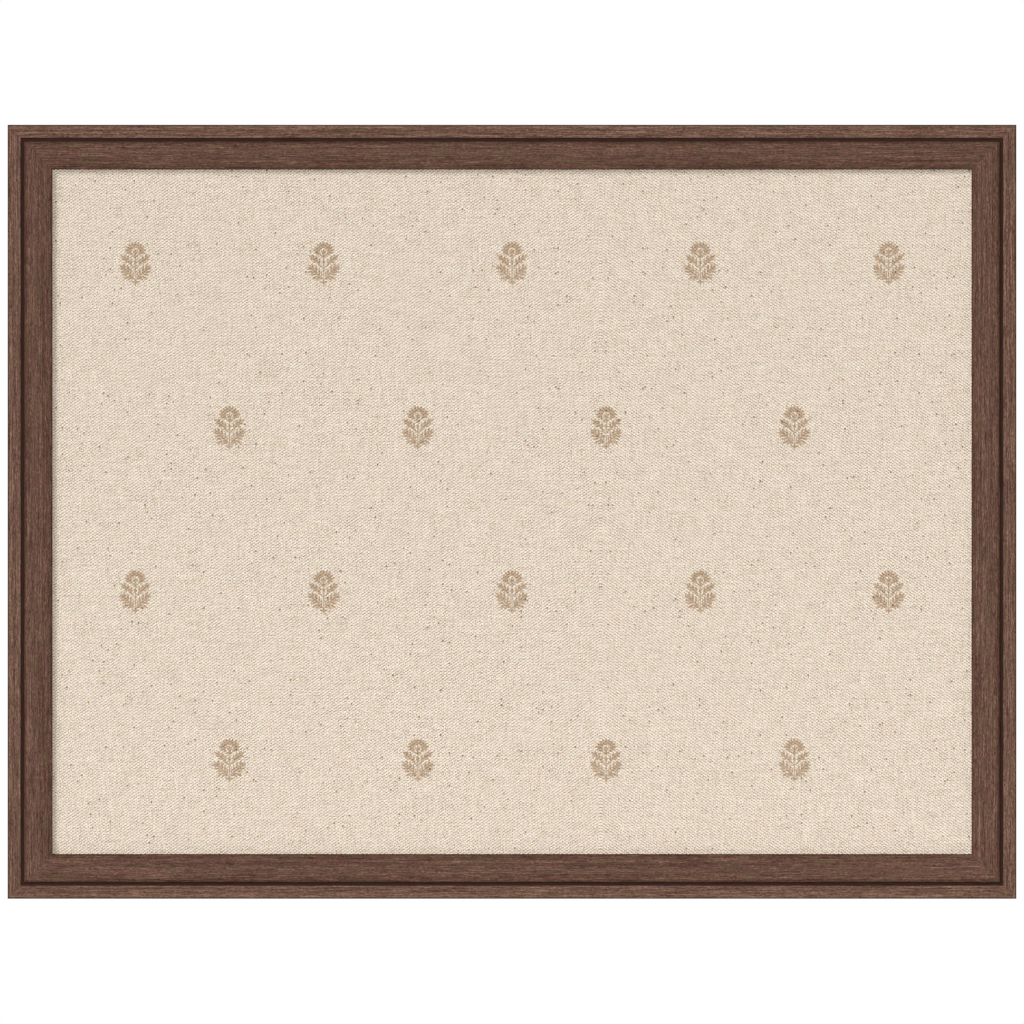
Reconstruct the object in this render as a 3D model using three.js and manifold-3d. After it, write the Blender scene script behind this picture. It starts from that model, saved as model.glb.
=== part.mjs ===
// A framed fabric pin board, as a three.js scene in millimetres.
// Four mitred lengths of grooved wooden moulding hold a cork panel wrapped in cloth. Framer's points
// keep the panel in the rebate, V-nails hold the mitres, and the board hangs by two strap hangers
// whose bent-wire D-rings swing on the back of the stiles.
//
// +X runs to the viewer's right, +Y towards the wall and +Z up. The origin is on the wall, behind
// the middle of the board.

import * as THREE from "three";
import { mergeVertices } from "three/addons/utils/BufferGeometryUtils.js";
import Module from "manifold-3d";

const wasm = await Module();
wasm.setup();

// Panel: the rebate takes a standard panel of 24 by 18 inches
const rebateWidth = 609.6;
const rebateHeight = 457.2;
const panelSideGap = 1;
const fabricThickness = 0.7;
const corkThickness = 5;
const hardboardThickness = 3;
const hemWidth = 25;
const layerGap = 0.1;
const fabricSeatGap = 0.2;

// Clear of the frame's lip the cloth isn't pressed, so it stands proud there in a soft-edged field
const fieldLoft = 0.3;
const fieldSideGap = 0.5;
const fieldEdgeWidth = 1.5;
const fieldCornerRadius = 2;
const fieldSegments = 3;

// Moulding section, measured from the outer edge inwards and from the crown of the face back
const mouldingWidth = 29;
const rebateOverlap = 6.35;
const shelfThickness = 6.35;
const lipWidth = 8;
const lipStep = 0.8;
const lipArrisRadius = 0.7;
const grooveDepth = 3.3;
const grooveFloorWidth = 1.6;
const riseWidth = 2.4;
const riseFootWidth = 1;
const shoulderDrop = 0.8;
const crownShare = 0.36;
const faceFall = 1.3;
const sightArrisWidth = 0.8;
const sightArrisDrop = 1;
const mitreSetback = 0.1;
const mouldingCurveSegments = 10;

// V-nails, two in each mitre, driven from the back
const nailHeight = 10;
const nailLegLength = 5.5;
const nailSheet = 0.8;
const nailSetback = 0.3;
const nailSlotGap = 0.25;
const nailPlaceShares = { outer: 0.34, inner: 0.8 };

// Flexible framer's points, pressed into the rebate's wall over the hems
const pointLength = 16;
const pointWidth = 9.5;
const pointThickness = 0.6;
const pointDriven = 5;
const pointTailRadius = 2;
const pointTailSegments = 3;
const pointSlotGap = 0.25;
const pointLift = 0.2;
const pointSetback = 2;
const pointEndInset = 75;
const longSidePointCount = 4;
const shortSidePointCount = 3;

// Strap hangers with D-rings, one on each stile
const strapWidth = 11;
const strapSheet = 0.8;
const strapSeatGap = 0.1;
const strapHoleRadius = 2;
const strapHolePitch = 10;
const strapEndMargin = 5.5;
const hangerDrop = 120;
const wireRadius = 1.2;
const eyeRunningGap = 0.2;
const ringSideGap = 0.5;
const ringLegLength = 5.5;
const ringBendRadius = 1.5;
const ringButtGap = 0.3;
const ringRestGap = 0.3;
const ringSides = 8;
const ringSteps = 56;
const eyeSides = 24;

// Pan-head screws
const screwShankRadius = 1.75;
const screwTipLength = 3;
const screwLength = 12;
const screwHeadRadius = 3.4;
const screwHeadHeight = 2.1;
const screwHeadRimHeight = 0.9;
const screwSeatGap = 0.1;
const screwRingGap = 1.7;
const pilotGap = 0.2;
const roundSides = 24;

// Rubber bumpers at the bottom corners, which set the board off the wall
const bumperRadius = 5.5;
const bumperTopRadius = 4.7;
const bumperEdgeRadius = 0.6;
const bumperInset = 25;
const bumperSeatGap = 0.1;
const wallClearance = 0.6;

// How far a cutting tool runs past the face that it opens
const overrun = 1;

const quarterTurn = Math.PI / 2;

// Sizes that follow from those above
const backWidth = mouldingWidth - rebateOverlap;
const outerWidth = rebateWidth - 2 * rebateOverlap + 2 * mouldingWidth;
const outerHeight = rebateHeight - 2 * rebateOverlap + 2 * mouldingWidth;
const hemBack = pointSetback + pointThickness + pointLift;
const boardBack = hemBack + fabricThickness + layerGap;
const corkBack = boardBack + hardboardThickness + layerGap;
const fabricFront = corkBack + corkThickness + layerGap + fabricThickness;
const rebateDepth = fabricFront + fabricSeatGap;
const mouldingDepth = rebateDepth + shelfThickness;
const panelWidth = rebateWidth - 2 * panelSideGap;
const panelHeight = rebateHeight - 2 * panelSideGap;
const boardMargin = fabricThickness + layerGap;
const boardWidth = panelWidth - 2 * boardMargin;
const boardHeight = panelHeight - 2 * boardMargin;

const eyeBoreRadius = wireRadius + eyeRunningGap;
const eyeOuterRadius = eyeBoreRadius + strapSheet;
const eyeHeight = strapSeatGap + eyeOuterRadius;
const strapTop = strapSeatGap + 2 * strapSheet;
const ringHalfWidth = strapWidth / 2 + ringSideGap + wireRadius;
const ringReach = ringLegLength + ringHalfWidth;
const firstHoleDrop = ringReach + wireRadius + screwRingGap + screwHeadRadius;
const secondHoleDrop = firstHoleDrop + strapHolePitch;
const ringRestHeight = strapTop + ringRestGap + wireRadius;
const ringRestAngle = Math.asin((ringRestHeight - eyeHeight) / ringReach);
const wallGap = ringRestHeight + wireRadius + wallClearance;

const walnut = new THREE.MeshStandardMaterial({ color: 0x684e41, roughness: 0.55, metalness: 0 });
const cloth = new THREE.MeshStandardMaterial({ color: 0xe0d1bf, roughness: 0.95, metalness: 0 });
const cork = new THREE.MeshStandardMaterial({ color: 0xb98a5a, roughness: 0.9, metalness: 0 });
const hardboard = new THREE.MeshStandardMaterial({ color: 0x6f4a2e, roughness: 0.7, metalness: 0 });
const zincSteel = new THREE.MeshStandardMaterial({ color: 0xb9bcbf, roughness: 0.35, metalness: 1 });
const darkSteel = new THREE.MeshStandardMaterial({ color: 0x55575a, roughness: 0.45, metalness: 1 });
const rubber = new THREE.MeshStandardMaterial({ color: 0x2b2a29, roughness: 0.85, metalness: 0 });

// A closed geometry as a manifold-3d solid
function toSolid(geometry) {
  const bare = geometry.index ? geometry.toNonIndexed() : geometry.clone();
  bare.deleteAttribute("normal");
  bare.deleteAttribute("uv");
  const merged = mergeVertices(bare);
  return new wasm.Manifold(
    new wasm.Mesh({
      numProp: 3,
      vertProperties: merged.attributes.position.array,
      triVerts: new Uint32Array(merged.index.array),
    }),
  );
}

function toGeometry(solid) {
  const { vertProperties, triVerts } = solid.getMesh();
  const geometry = new THREE.BufferGeometry();
  geometry.setAttribute("position", new THREE.BufferAttribute(vertProperties, 3));
  geometry.setIndex(new THREE.BufferAttribute(triVerts, 1));
  geometry.computeVertexNormals();
  return geometry;
}

function cut(geometry, ...tools) {
  return toGeometry(tools.reduce((left, tool) => left.subtract(toSolid(tool)), toSolid(geometry)));
}

function join(geometry, ...others) {
  return toGeometry(others.reduce((left, other) => left.add(toSolid(other)), toSolid(geometry)));
}

function addMesh(parent, name, geometry, material) {
  const mesh = new THREE.Mesh(geometry, material);
  mesh.name = name;
  parent.add(mesh);
  return mesh;
}

function extrude(shape, depth, curveSegments = roundSides / 4) {
  return new THREE.ExtrudeGeometry(shape, { depth, bevelEnabled: false, curveSegments });
}

// A cylinder of revolution about +Y, from one height to another
function rod(radius, from, to) {
  return new THREE.CylinderGeometry(radius, radius, to - from, roundSides).translate(0, (from + to) / 2, 0);
}

// A box given by its lowest and highest corners
function block(low, high) {
  const size = high.map((value, i) => value - low[i]);
  const middle = high.map((value, i) => (value + low[i]) / 2);
  return new THREE.BoxGeometry(...size).translate(...middle);
}

// Each side of the frame has a frame of its own: x runs inwards from the outer edge, y runs forward
// from the back face, and z runs along the side from its middle.
function makeSide(name, inward, edgeDistance, run, rebateRun, pointCount) {
  const into = new THREE.Vector3(...inward);
  const forward = new THREE.Vector3(0, -1, 0);
  const along = new THREE.Vector3().crossVectors(into, forward);
  const group = new THREE.Group();
  group.applyMatrix4(new THREE.Matrix4().makeBasis(into, forward, along));
  group.position.copy(into).multiplyScalar(-edgeDistance);
  group.position.y = -wallGap;
  return { name, group, along, run, rebateRun, pointCount };
}

const sides = {
  top: makeSide("top", [0, 0, -1], outerHeight / 2, outerWidth, rebateWidth, longSidePointCount),
  bottom: makeSide("bottom", [0, 0, 1], outerHeight / 2, outerWidth, rebateWidth, longSidePointCount),
  left: makeSide("left", [1, 0, 0], outerWidth / 2, outerHeight, rebateHeight, shortSidePointCount),
  right: makeSide("right", [-1, 0, 0], outerWidth / 2, outerHeight, rebateHeight, shortSidePointCount),
};

// Turns a plan drawn in x and y, and extruded along z, to lie in a side's own frame: the plan's x
// runs along the side, its y inwards and its thickness forward.
function layOnSide(geometry, inset, depth, along) {
  const plan = new THREE.Matrix4().makeBasis(
    new THREE.Vector3(0, 0, 1),
    new THREE.Vector3(1, 0, 0),
    new THREE.Vector3(0, 1, 0),
  );
  return geometry.applyMatrix4(plan).translate(inset, depth, along);
}

// The moulding's section: outer lip, square-walled groove with an S-shaped rise, crowned face,
// eased sight edge, and the rebate at the back
function mouldingSection() {
  const lipTop = mouldingDepth - lipStep;
  const grooveFloor = lipTop - grooveDepth;
  const riseStart = lipWidth + grooveFloorWidth;
  const shoulder = riseStart + riseWidth;
  const shoulderTop = mouldingDepth - shoulderDrop;
  const arrisStart = mouldingWidth - sightArrisWidth;
  const arrisTop = mouldingDepth - faceFall;
  const crown = shoulder + crownShare * (arrisStart - shoulder);
  const shoulderSlope = (2 * shoulderDrop) / (crown - shoulder);
  const section = new THREE.Shape();
  section.moveTo(0, 0);
  section.lineTo(0, lipTop - lipArrisRadius);
  section.absarc(lipArrisRadius, lipTop - lipArrisRadius, lipArrisRadius, Math.PI, quarterTurn, true);
  section.lineTo(lipWidth - lipArrisRadius, lipTop);
  section.absarc(lipWidth - lipArrisRadius, lipTop - lipArrisRadius, lipArrisRadius, quarterTurn, 0, true);
  section.lineTo(lipWidth, grooveFloor);
  section.lineTo(riseStart, grooveFloor);
  section.bezierCurveTo(
    riseStart + riseFootWidth, grooveFloor,
    riseStart + riseFootWidth, shoulderTop - shoulderSlope * (riseWidth - riseFootWidth),
    shoulder, shoulderTop,
  );
  section.quadraticCurveTo((shoulder + crown) / 2, mouldingDepth, crown, mouldingDepth);
  section.quadraticCurveTo((crown + arrisStart) / 2, mouldingDepth, arrisStart, arrisTop);
  section.quadraticCurveTo(mouldingWidth, arrisTop, mouldingWidth, arrisTop - sightArrisDrop);
  section.lineTo(mouldingWidth, rebateDepth);
  section.lineTo(backWidth, rebateDepth);
  section.lineTo(backWidth, 0);
  return section;
}

// A unit run of moulding whose ends are then pulled out to the mitre planes
function mitredRun(run) {
  const geometry = extrude(mouldingSection(), 1, mouldingCurveSegments);
  const place = geometry.attributes.position;
  for (let i = 0; i < place.count; i++) {
    const halfRun = run / 2 - place.getX(i) - mitreSetback;
    place.setZ(i, place.getZ(i) > 0 ? halfRun : -halfRun);
  }
  return geometry;
}

// A V in plan with its apex at the origin and its legs along +x and +y, grown on all sides by a gap
function chevron(gap) {
  const low = -nailSheet / 2 - gap;
  const inner = nailSheet / 2 + gap;
  const tip = nailLegLength + gap;
  return new THREE.Shape([
    new THREE.Vector2(low, low),
    new THREE.Vector2(tip, low),
    new THREE.Vector2(tip, inner),
    new THREE.Vector2(inner, inner),
    new THREE.Vector2(inner, tip),
    new THREE.Vector2(low, tip),
  ]);
}

// A V-nail or its slot at one end of a side, with the legs pointing to the frame's outer edges
function nailSolid(run, end, placeShare, gap, from) {
  const inset = placeShare * backWidth;
  const turn = end > 0 ? -quarterTurn : Math.PI;
  const geometry = extrude(chevron(gap), nailSetback + nailHeight + gap - from).rotateZ(turn);
  return layOnSide(geometry, inset, from, end * (run / 2 - inset));
}

const mitreEnds = [-1, 1].flatMap((end) =>
  Object.entries(nailPlaceShares).map(([place, placeShare]) => ({ end, place, placeShare })),
);

// A side's points stand in an even row between the rebate's corners
function pointPlaces(side) {
  const first = pointEndInset - side.rebateRun / 2;
  const pitch = (-2 * first) / (side.pointCount - 1);
  return Array.from({ length: side.pointCount }, (_, i) => first + i * pitch);
}

// A framer's point in plan: a sharp tip in the wood, parallel edges and a rounded tail
function pointPlan() {
  const half = pointWidth / 2;
  const tail = pointLength - pointDriven;
  const plan = new THREE.Shape();
  plan.moveTo(0, -pointDriven);
  plan.lineTo(half, 0);
  plan.lineTo(half, tail - pointTailRadius);
  plan.absarc(half - pointTailRadius, tail - pointTailRadius, pointTailRadius, 0, quarterTurn);
  plan.lineTo(pointTailRadius - half, tail);
  plan.absarc(pointTailRadius - half, tail - pointTailRadius, pointTailRadius, quarterTurn, Math.PI);
  plan.lineTo(-half, 0);
  return plan;
}

function pointSlot(along) {
  const half = pointWidth / 2 + pointSlotGap;
  return block(
    [backWidth - pointDriven - pointSlotGap, pointSetback - pointSlotGap, along - half],
    [backWidth + overrun, pointSetback + pointThickness + pointSlotGap, along + half],
  );
}

// The strap hangers stand on the middle of each stile's back
const hangerTop = outerHeight / 2 - hangerDrop;
const screwDrops = { upper: firstHoleDrop, lower: secondHoleDrop };
const screwReach = screwLength - strapTop - screwSeatGap;

function pilotHoles(side) {
  return Object.values(screwDrops).map((drop) =>
    rod(screwShankRadius + pilotGap, -overrun, screwReach + pilotGap).translate(
      backWidth / 2,
      0,
      side.along.z * (hangerTop - drop),
    ),
  );
}

// One length of moulding with the slots of its V-nails and points and the holes of its screws
function addMoulding(side, name, holes) {
  const nailSlots = mitreEnds.map(({ end, placeShare }) =>
    nailSolid(side.run, end, placeShare, nailSlotGap, -overrun),
  );
  const pointSlots = pointPlaces(side).map(pointSlot);
  const geometry = cut(mitredRun(side.run), ...nailSlots, ...pointSlots, ...holes);
  addMesh(side.group, name, geometry, walnut);
}

// The two long sides carry the V-nails of both their corners
function addNails(side) {
  for (const { end, place, placeShare } of mitreEnds) {
    const corner = end * side.along.x > 0 ? "right" : "left";
    const geometry = nailSolid(side.run, end, placeShare, 0, nailSetback);
    addMesh(side.group, `v_nail_${side.name}_${corner}_${place}`, geometry, darkSteel);
  }
}

function addPoints(side) {
  pointPlaces(side).forEach((along, i) => {
    const geometry = layOnSide(
      extrude(pointPlan(), pointThickness, pointTailSegments),
      backWidth,
      pointSetback,
      along,
    );
    addMesh(side.group, `framers_point_${side.name}_${i + 1}`, geometry, darkSteel);
  });
}

// A slab of the panel, centred on the board, between two depths forward of the frame's back
function slab(width, height, from, to) {
  return block([-width / 2, -wallGap - to, -height / 2], [width / 2, -wallGap - from, height / 2]);
}

// The field's outline at the foot of its soft edge, inside the frame's sight edges
function fieldOutline() {
  const right = rebateWidth / 2 - rebateOverlap - fieldSideGap - fieldEdgeWidth;
  const top = rebateHeight / 2 - rebateOverlap - fieldSideGap - fieldEdgeWidth;
  const corner = fieldCornerRadius;
  const outline = new THREE.Shape();
  outline.absarc(right - corner, top - corner, corner, 0, quarterTurn);
  outline.absarc(corner - right, top - corner, corner, quarterTurn, Math.PI);
  outline.absarc(corner - right, corner - top, corner, Math.PI, 3 * quarterTurn);
  outline.absarc(right - corner, corner - top, corner, 3 * quarterTurn, 4 * quarterTurn);
  return outline;
}

// A slab rooted in the cloth, whose front edges round off over the loft
function fabricField() {
  const root = (fabricThickness - fieldLoft) / 2;
  const field = new THREE.ExtrudeGeometry(fieldOutline(), {
    depth: root,
    curveSegments: fieldSegments,
    bevelThickness: fieldLoft,
    bevelSize: fieldEdgeWidth,
    bevelSegments: fieldSegments,
  });
  return field.rotateX(quarterTurn).translate(0, -wallGap - fabricFront + root, 0);
}

// The cloth wraps the front and the edges of the panel and turns over its back in a hem
function fabricCover() {
  const insideWidth = panelWidth - 2 * fabricThickness;
  const insideHeight = panelHeight - 2 * fabricThickness;
  const whole = slab(panelWidth, panelHeight, hemBack, fabricFront);
  const inside = slab(insideWidth, insideHeight, hemBack + fabricThickness, fabricFront - fabricThickness);
  const hemWindow = slab(
    panelWidth - 2 * hemWidth,
    panelHeight - 2 * hemWidth,
    hemBack - overrun,
    boardBack,
  );
  return join(cut(whole, inside, hemWindow), fabricField());
}

// The strap is one strip folded round the ring's bar: an eye, and a double tail with two holes.
// Its frame stands on the wood under the eye, with +Y away from the wood.
function strapHanger() {
  const half = strapWidth / 2;
  const tailEnd = secondHoleDrop + strapEndMargin;
  const plan = new THREE.Shape();
  plan.moveTo(half, 0);
  plan.lineTo(-half, 0);
  plan.lineTo(-half, half - tailEnd);
  plan.absarc(0, half - tailEnd, half, Math.PI, 2 * Math.PI);
  plan.lineTo(half, 0);
  for (const drop of Object.values(screwDrops)) {
    const hole = new THREE.Path();
    hole.absarc(0, -drop, strapHoleRadius, 0, 2 * Math.PI, true);
    plan.holes.push(hole);
  }
  const tail = extrude(plan, 2 * strapSheet, roundSides / 2).rotateX(quarterTurn).translate(0, strapTop, 0);
  const acrossStrap = (radius, length) =>
    new THREE.CylinderGeometry(radius, radius, length, eyeSides)
      .rotateZ(quarterTurn)
      .translate(0, eyeHeight, 0);
  const eye = acrossStrap(eyeOuterRadius, strapWidth);
  const bore = acrossStrap(eyeBoreRadius, strapWidth + 2 * overrun);
  return cut(join(tail, eye), bore);
}

// A flat path in x and y, stood up in the plane of x and z
class StandingPath extends THREE.Curve {
  constructor(path) {
    super();
    this.path = path;
  }

  getPoint(t, target = new THREE.Vector3()) {
    const flat = this.path.getPoint(t);
    return target.set(flat.x, 0, flat.y);
  }
}

// The ring is bent from one wire whose ends butt inside the strap's eye: a straight bar on the
// hinge's axis, two legs, and a half-round bow that hangs below
function ringWire() {
  const bend = ringBendRadius;
  const path = new THREE.Path();
  path.moveTo(ringButtGap / 2, 0);
  path.lineTo(ringHalfWidth - bend, 0);
  path.absarc(ringHalfWidth - bend, -bend, bend, quarterTurn, 0, true);
  path.lineTo(ringHalfWidth, -ringLegLength);
  path.absarc(0, -ringLegLength, ringHalfWidth, 0, -Math.PI, true);
  path.lineTo(-ringHalfWidth, -bend);
  path.absarc(bend - ringHalfWidth, -bend, bend, Math.PI, quarterTurn, true);
  path.lineTo(-ringButtGap / 2, 0);
  const section = new THREE.Shape();
  section.absarc(0, 0, wireRadius, 0, 2 * Math.PI);
  return new THREE.ExtrudeGeometry(section, {
    steps: ringSteps,
    curveSegments: ringSides / 2,
    extrudePath: new StandingPath(path),
  });
}

// A screw about +Y, with the underside of its head at the origin and its tip below
function panHeadScrew() {
  const dome = new THREE.CubicBezierCurve(
    new THREE.Vector2(screwHeadRadius, screwHeadRimHeight),
    new THREE.Vector2(screwHeadRadius, screwHeadHeight),
    new THREE.Vector2(screwHeadRadius / 2, screwHeadHeight),
    new THREE.Vector2(0, screwHeadHeight),
  );
  const profile = [
    new THREE.Vector2(0, -screwLength),
    new THREE.Vector2(screwShankRadius, screwTipLength - screwLength),
    new THREE.Vector2(screwShankRadius, 0),
    new THREE.Vector2(screwHeadRadius, 0),
    ...dome.getPoints(roundSides / 4),
  ];
  return new THREE.LatheGeometry(profile, roundSides);
}

function addHanger(parent, side) {
  const hanger = new THREE.Group();
  hanger.position.set(-side.into * (outerWidth / 2 - backWidth / 2), -wallGap, hangerTop);
  addMesh(hanger, `hanger_strap_${side.name}`, strapHanger(), zincSteel);
  const ring = addMesh(hanger, `d_ring_${side.name}`, ringWire(), zincSteel);
  ring.position.y = eyeHeight;
  ring.rotation.x = ringRestAngle;
  for (const [place, drop] of Object.entries(screwDrops)) {
    const screw = addMesh(hanger, `hanger_screw_${side.name}_${place}`, panHeadScrew(), zincSteel);
    screw.position.set(0, strapTop + screwSeatGap, -drop);
  }
  parent.add(hanger);
}

// A bumper about +Y, standing on the wood, with a flat face on the wall
function bumperSolid() {
  const height = wallGap - bumperSeatGap;
  const edge = new THREE.QuadraticBezierCurve(
    new THREE.Vector2(bumperTopRadius, height - bumperEdgeRadius),
    new THREE.Vector2(bumperTopRadius, height),
    new THREE.Vector2(bumperTopRadius - bumperEdgeRadius, height),
  );
  const profile = [
    new THREE.Vector2(0, 0),
    new THREE.Vector2(bumperRadius, 0),
    ...edge.getPoints(roundSides / 4),
    new THREE.Vector2(0, height),
  ];
  return new THREE.LatheGeometry(profile, roundSides);
}

function addBumper(parent, name, x) {
  const bumper = addMesh(parent, name, bumperSolid(), rubber);
  bumper.position.set(x, bumperSeatGap - wallGap, (backWidth - outerHeight) / 2);
}

const board = new THREE.Group();

for (const side of Object.values(sides)) {
  board.add(side.group);
  addPoints(side);
}
addMoulding(sides.top, "rail_top", []);
addMoulding(sides.bottom, "rail_bottom", []);
addMoulding(sides.left, "stile_left", pilotHoles(sides.left));
addMoulding(sides.right, "stile_right", pilotHoles(sides.right));
addNails(sides.top);
addNails(sides.bottom);

addMesh(board, "fabric_cover", fabricCover(), cloth);
addMesh(board, "cork_sheet", slab(boardWidth, boardHeight, corkBack, corkBack + corkThickness), cork);
addMesh(
  board,
  "backing_board",
  slab(boardWidth, boardHeight, boardBack, boardBack + hardboardThickness),
  hardboard,
);

addHanger(board, { name: "left", into: 1 });
addHanger(board, { name: "right", into: -1 });
addBumper(board, "bumper_left", bumperInset - outerWidth / 2);
addBumper(board, "bumper_right", outerWidth / 2 - bumperInset);

export default board;
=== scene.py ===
# A framed fabric pin board: its wood, printed cloth and hardware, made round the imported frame.
# Lengths are in metres. +X is the viewer's right, +Y runs to the wall and +Z is up.

import math
import random

import bmesh
import bpy
from mathutils import Matrix, Vector
from mathutils.geometry import interpolate_bezier


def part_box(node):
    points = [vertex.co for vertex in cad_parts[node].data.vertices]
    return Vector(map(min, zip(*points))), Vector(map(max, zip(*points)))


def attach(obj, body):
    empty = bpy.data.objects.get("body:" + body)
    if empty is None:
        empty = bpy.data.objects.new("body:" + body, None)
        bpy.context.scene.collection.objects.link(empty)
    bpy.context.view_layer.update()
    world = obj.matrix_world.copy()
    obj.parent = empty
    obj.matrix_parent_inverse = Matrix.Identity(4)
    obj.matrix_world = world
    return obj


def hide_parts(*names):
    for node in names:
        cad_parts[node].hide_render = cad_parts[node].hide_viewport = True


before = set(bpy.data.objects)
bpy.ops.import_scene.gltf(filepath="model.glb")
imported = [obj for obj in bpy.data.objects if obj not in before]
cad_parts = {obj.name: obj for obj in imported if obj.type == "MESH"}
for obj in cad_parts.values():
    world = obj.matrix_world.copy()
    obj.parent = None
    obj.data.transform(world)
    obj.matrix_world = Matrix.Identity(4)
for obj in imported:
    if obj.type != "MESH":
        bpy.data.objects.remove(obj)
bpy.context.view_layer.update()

MM = 0.001
QUARTER = math.pi / 2
dice = random.Random(7)

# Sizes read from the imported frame
rail_low, rail_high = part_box("rail_top")
cloth_low, cloth_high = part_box("fabric_cover")
HALF_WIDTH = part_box("stile_right")[1].x
HALF_HEIGHT = rail_high.z
BACK_FACE = rail_high.y
CROWN = rail_low.y
MOULDING_WIDTH = rail_high.z - rail_low.z

# The moulding's section
LIP_WIDTH = 8.45 * MM
LIP_STEP = 0.8 * MM
LIP_ARRIS = 0.6 * MM
LIP_INNER_ARRIS = 0.25 * MM
GROOVE_DEPTH = 3.1 * MM
GROOVE_FLOOR = 1.9 * MM
RISE_WIDTH = 0.6 * MM
RISE_FOOT = 0.2 * MM
SHOULDER_DROP = 0.8 * MM
CROWN_SHARE = 0.36
FACE_FALL = 1.3 * MM
SIGHT_ARRIS_WIDTH = 0.8 * MM
SIGHT_ARRIS_DROP = 1 * MM
REBATE_LAP = 6.35 * MM
SHELF = 6.35 * MM
BACK_ARRIS = 0.4 * MM
MITRE_SETBACK = 0.01 * MM
BACK_WIDTH = MOULDING_WIDTH - REBATE_LAP

# How far a cutting tool runs past a face, and a curve's number of straight parts
OVERRUN = 1 * MM
CURVE_STEPS = 8

# Slots for the V-nails and the framer's points, and the screws' pilot holes
NAIL_SHARES = (0.34, 0.8)
NAIL_SLOT_HALF = 0.65 * MM
NAIL_SLOT_LEG = 5.75 * MM
NAIL_SLOT_DEPTH = 10.55 * MM
POINT_SLOT = (10 * MM, 1.1 * MM, 5.25 * MM)
POINT_SLOT_TOP = 1.75 * MM
POINT_END_INSET = 75 * MM
RAIL_POINTS = 4
STILE_POINTS = 3
PILOT_RADIUS = 1.95 * MM
PILOT_DEPTH = 10.4 * MM

# The cloth and its hems. The soft edge's shares are pairs of its width and its rise
CLOTH_THICKNESS = 0.7 * MM
CLOTH_LOFT = 0.3 * MM
CLOTH_SOFT_EDGE = 3 * MM
CLOTH_SOFT_EDGE_SHARES = ((0.25, 0.4), (0.35, 0.35), (0.4, 0.25))
CLOTH_SIGHT_GAP = 0.5 * MM
CLOTH_GRID = 12 * MM
PANEL_EDGE = 0.9 * MM
HEM_WIDTH = 25 * MM
HEM_WAVER = 0.4 * MM

# A corner fold's outline, inwards from the panel's side and from its end
FOLD_OUTLINE = ((1.6 * MM, 1.6 * MM), (24 * MM, 24 * MM), (24 * MM, 37 * MM))
FOLD_EDGE = 0.3 * MM

# Staples: half a crown, a leg, the wire's section, and their insets from the panel's edges
STAPLE_HALF = 5.2 * MM
STAPLE_LEG = 6 * MM
STAPLE_WIRE = (0.7 * MM, 1 * MM)
STAPLE_BEND = 0.5 * MM
STAPLE_PROUD = 0.62 * MM
STAPLE_INSET = 15.5 * MM
STAPLE_END_INSET = 34 * MM
STAPLES_LONG_SIDE = 14
STAPLES_SHORT_SIDE = 10

# How far a staple strays along its hem, across it and in its turn
STAPLE_STRAY = (4 * MM, 1.6 * MM, math.radians(9))

# Hangers: one folded strip each, and a bent ring in its eye
STRAP_WIDTH = 11 * MM
STRAP_SHEET = 0.78 * MM
STRAP_SEAT = 0.1 * MM
STRAP_TOP = 1.7 * MM
STRAP_HOLE = 2 * MM
STRAP_END = 34.5 * MM
STRAP_ARRIS = 0.12 * MM
EYE_RADIUS = 2.2 * MM
FOLD_RADIUS = 0.6 * MM
STRAP_CUT_REACH = 4 * MM
HANGER_DROP = 120 * MM
WIRE_RADIUS = 1.2 * MM
RING_HALF_WIDTH = 7.2 * MM
RING_LEG = 5.5 * MM
RING_BEND = 1.5 * MM
RING_BUTT = 0.15 * MM
RING_TILT = math.asin(0.9 / 12.7)

# Screws. A thread stands out by half its root's thickness
SCREW_DROPS = (19 * MM, 29 * MM)
SCREW_ARRIS = 0.06 * MM
SCREW_SHANK = 1.75 * MM
SCREW_LENGTH = 12 * MM
SCREW_TIP = 3 * MM
SCREW_HEAD = 3.4 * MM
SCREW_HEAD_HEIGHT = 2.1 * MM
SCREW_RIM = 0.9 * MM
SCREW_SEAT = 0.1 * MM
SCREW_EASE = 0.2 * MM
THREAD_PITCH = 1.4 * MM
THREAD_RISE = 0.3 * MM
THREAD_SUNK = 0.1 * MM
THREAD_STEPS = 16
RECESS_ARM = (3.6 * MM, 2.2 * MM, 0.95 * MM)
RECESS_TAPER = (0.55, 1, 0.7)

# Rubber bumpers, each with a small dimple in its end
BUMPER_RADIUS = 5.5 * MM
BUMPER_TOP = 4.7 * MM
BUMPER_EDGE = 0.6 * MM
BUMPER_FOOT = 0.3 * MM
BUMPER_SEAT = 0.1 * MM
BUMPER_INSET = 25 * MM
DIMPLE_RADIUS = 1.6 * MM
DIMPLE_FLOOR = 1.2 * MM
DIMPLE_DEPTH = 0.25 * MM
DIMPLE_EDGE_DEPTH = 0.2 * MM

# The photograph shows 664.8 mm of the board's front across its width
PICTURE_SPAN = 664.82 * MM
PICTURE_LENS = 800
SENSOR_WIDTH = 36
PICTURE_DROP = 0.15 * MM

# The floor, and how far out it fades into the white
FLOOR_RADIUS = 9
FLOOR_HEIGHT = -0.62
FLOOR_FADE = (0.9, 2.4)
FLOOR_LIFT = 0.45


# Shader maths as Python expressions

def maths(operation, swapped=False):
    """A method that adds a Math node. Swapped, the node takes the wire itself as its last value."""

    def method(self, *others):
        values = (*others, self) if swapped else (self, *others)
        return self.finish.node("ShaderNodeMath", {"operation": operation}, dict(enumerate(values)))

    return method


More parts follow.
